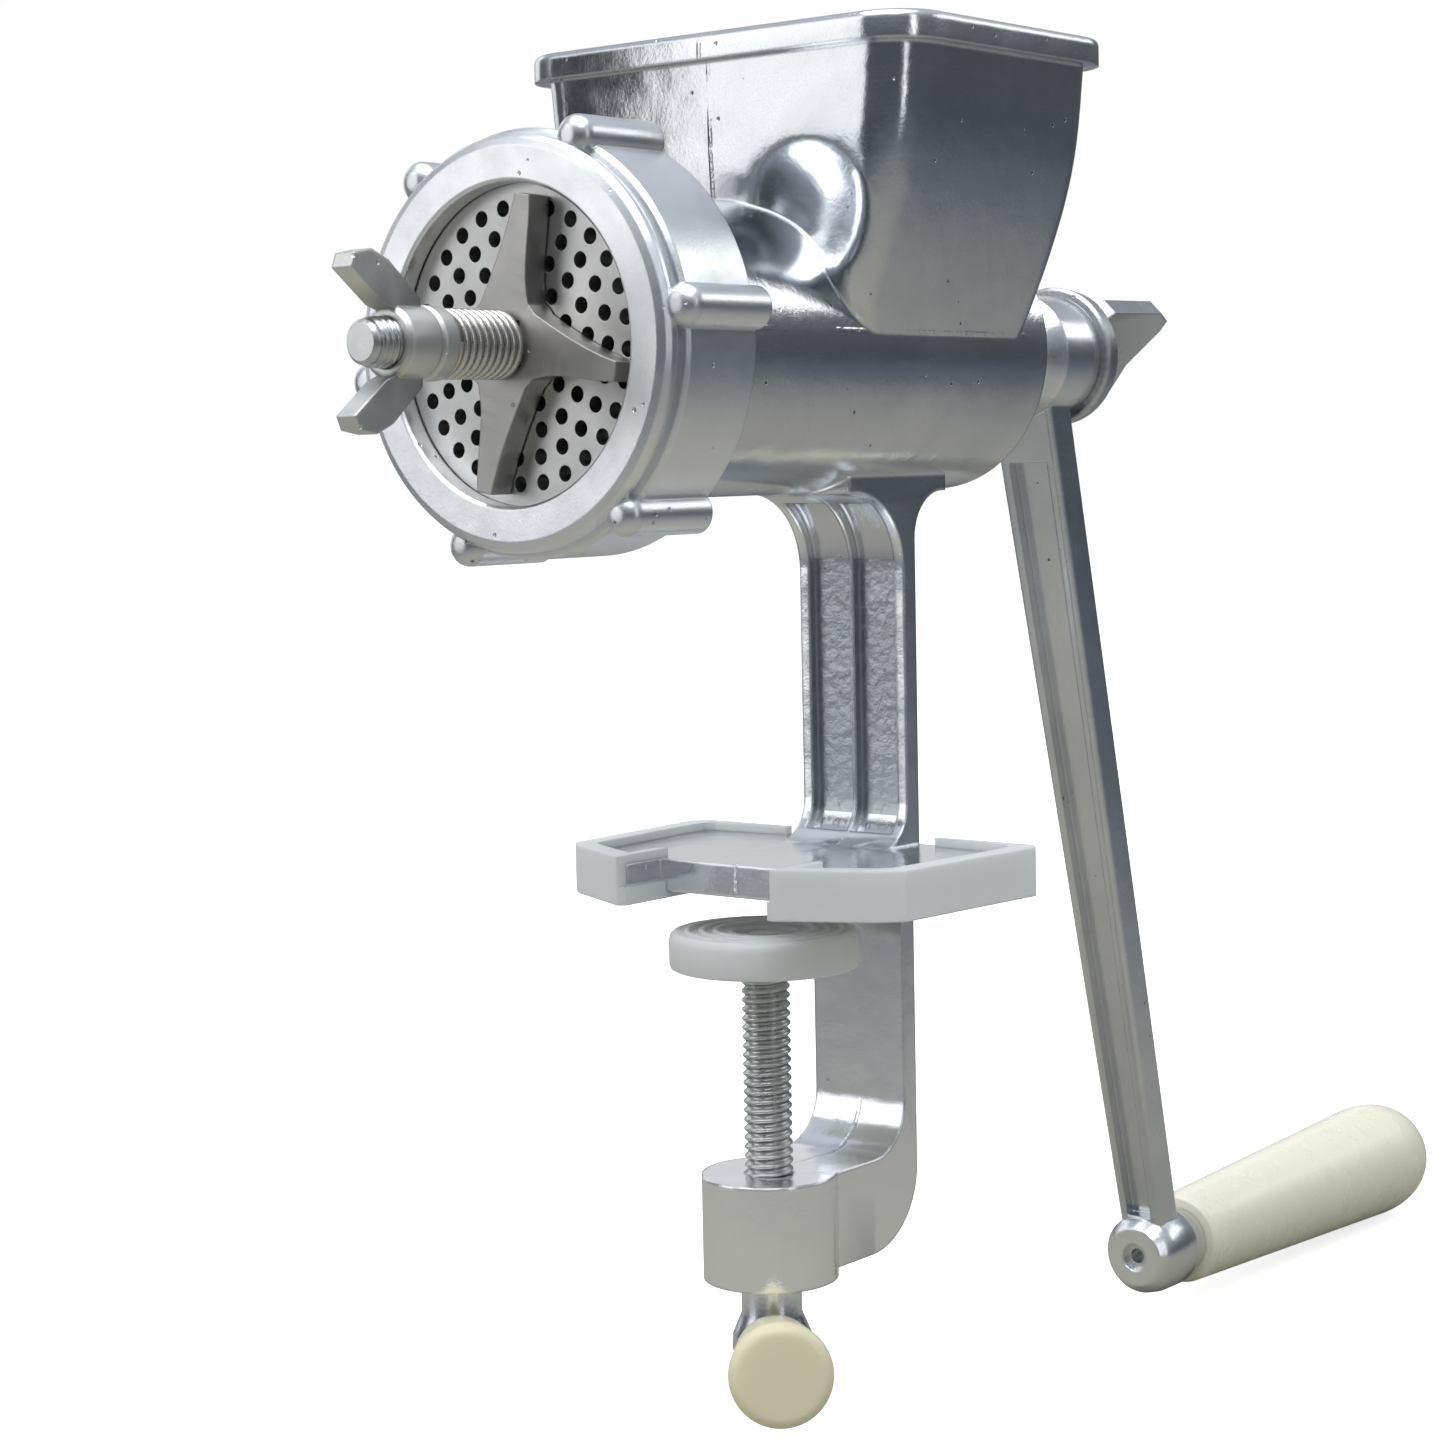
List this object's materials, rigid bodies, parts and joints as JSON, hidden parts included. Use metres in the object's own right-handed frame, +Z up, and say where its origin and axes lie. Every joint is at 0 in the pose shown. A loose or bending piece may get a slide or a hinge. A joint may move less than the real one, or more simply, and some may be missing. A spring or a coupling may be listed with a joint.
{
  "type": "hand crank meat grinder",
  "caption": "Hand crank meat grinder that clamps to a table edge, with a square hopper, barrel and auger, screwed ring, perforated plate, sprung outside knife, crank and screw clamp.",
  "frame": {"origin": "on the clamp screw axis, in the plane where the jaw pads rest on the table top", "axes": "+Z up along the clamp screw, +Y along the barrel from the perforated plate towards the crank, +X to the right seen from the plate end"},
  "size_m": [0.11, 0.4323, 0.3244],
  "materials": {
    "cast_aluminium": "polished die casting with fine flow marks and pits",
    "machined_aluminium": "satin turned casting",
    "plate_steel": "satin ground steel",
    "knife_steel": "matt cast steel",
    "spring_steel": "bright nickel plated wire",
    "nickel": "matt nickel plate",
    "zinc": "bright zinc plate",
    "zinc_casting": "speckled die-cast zinc alloy",
    "auger_casting": "as-cast aluminium",
    "bronze": "sintered bronze",
    "clear_plastic": "milky translucent polyethylene",
    "ivory_plastic": "ivory moulded plastic, soft gloss",
    "washer_steel": "plain steel"
  },
  "bodies": {
    "base": {"main_casting": "cast_aluminium", "plate_key": "washer_steel", "rear_bush": "bronze", "die_plate": "plate_steel", "jaw_pad_right": "clear_plastic", "jaw_pad_left": "clear_plastic"},
    "ring": {"ring_nut": "machined_aluminium"},
    "drive": {"auger": "auger_casting", "thrust_washer": "washer_steel", "front_stud": "zinc", "cutter_knife": "knife_steel", "pressure_spring": "spring_steel", "crank_arm": "cast_aluminium", "grip_pin": "zinc"},
    "grip": {"crank_grip": "ivory_plastic"},
    "crank_lock": {"crank_screw": "zinc_casting"},
    "collar": {"spring_collar": "nickel"},
    "wing": {"wing_nut": "nickel"},
    "foot": {"clamp_foot": "clear_plastic"},
    "clamp": {"clamp_screw": "zinc", "foot_retainer": "washer_steel", "clamp_lever": "cast_aluminium", "lever_pin": "washer_steel", "clamp_grip": "ivory_plastic"}
  },
  "joints": [
    {"name": "ring_turn", "type": "hinge", "parent": "base", "child": "ring", "pos_m": [0, -0.0796, 0.1225], "axis": [0, 1, 0], "range_deg": [-90, 0]},
    {"name": "crank_spin", "type": "hinge", "parent": "base", "child": "drive", "pos_m": [0, 0.08, 0.1225], "axis": [0, 1, 0], "continuous": true},
    {"name": "grip_spin", "type": "hinge", "parent": "drive", "child": "grip", "pos_m": [0, 0.2, -0.1175], "axis": [0, 1, 0], "continuous": true},
    {"name": "crank_screw_turn", "type": "hinge", "parent": "drive", "child": "crank_lock", "pos_m": [0, 0.12, 0.1225], "axis": [0, 1, 0], "range_deg": [0, 360]},
    {"name": "collar_slide", "type": "slide", "parent": "drive", "child": "collar", "axis": [0, 1, 0], "range_m": [-0.004, 0.003], "deforming": ["pressure_spring"]},
    {"name": "wing_spin", "type": "hinge", "parent": "collar", "child": "wing", "pos_m": [0, -0.11, 0.1225], "axis": [0, 1, 0], "range_deg": [-960, 720]},
    {"name": "foot_slide", "type": "slide", "parent": "base", "child": "foot", "axis": [0, 0, 1], "range_m": [-0.045, 0]},
    {"name": "clamp_spin", "type": "hinge", "parent": "foot", "child": "clamp", "pos_m": [0, 0, -0.06], "axis": [0, 0, 1], "range_deg": [-8100, 0]}
  ],
  "couplings": [
    {"joint": "foot_slide", "follows": "clamp_spin", "m_per_rad": 0.00031831},
    {"joint": "collar_slide", "follows": "wing_spin", "m_per_rad": 0.00023873}
  ]
}
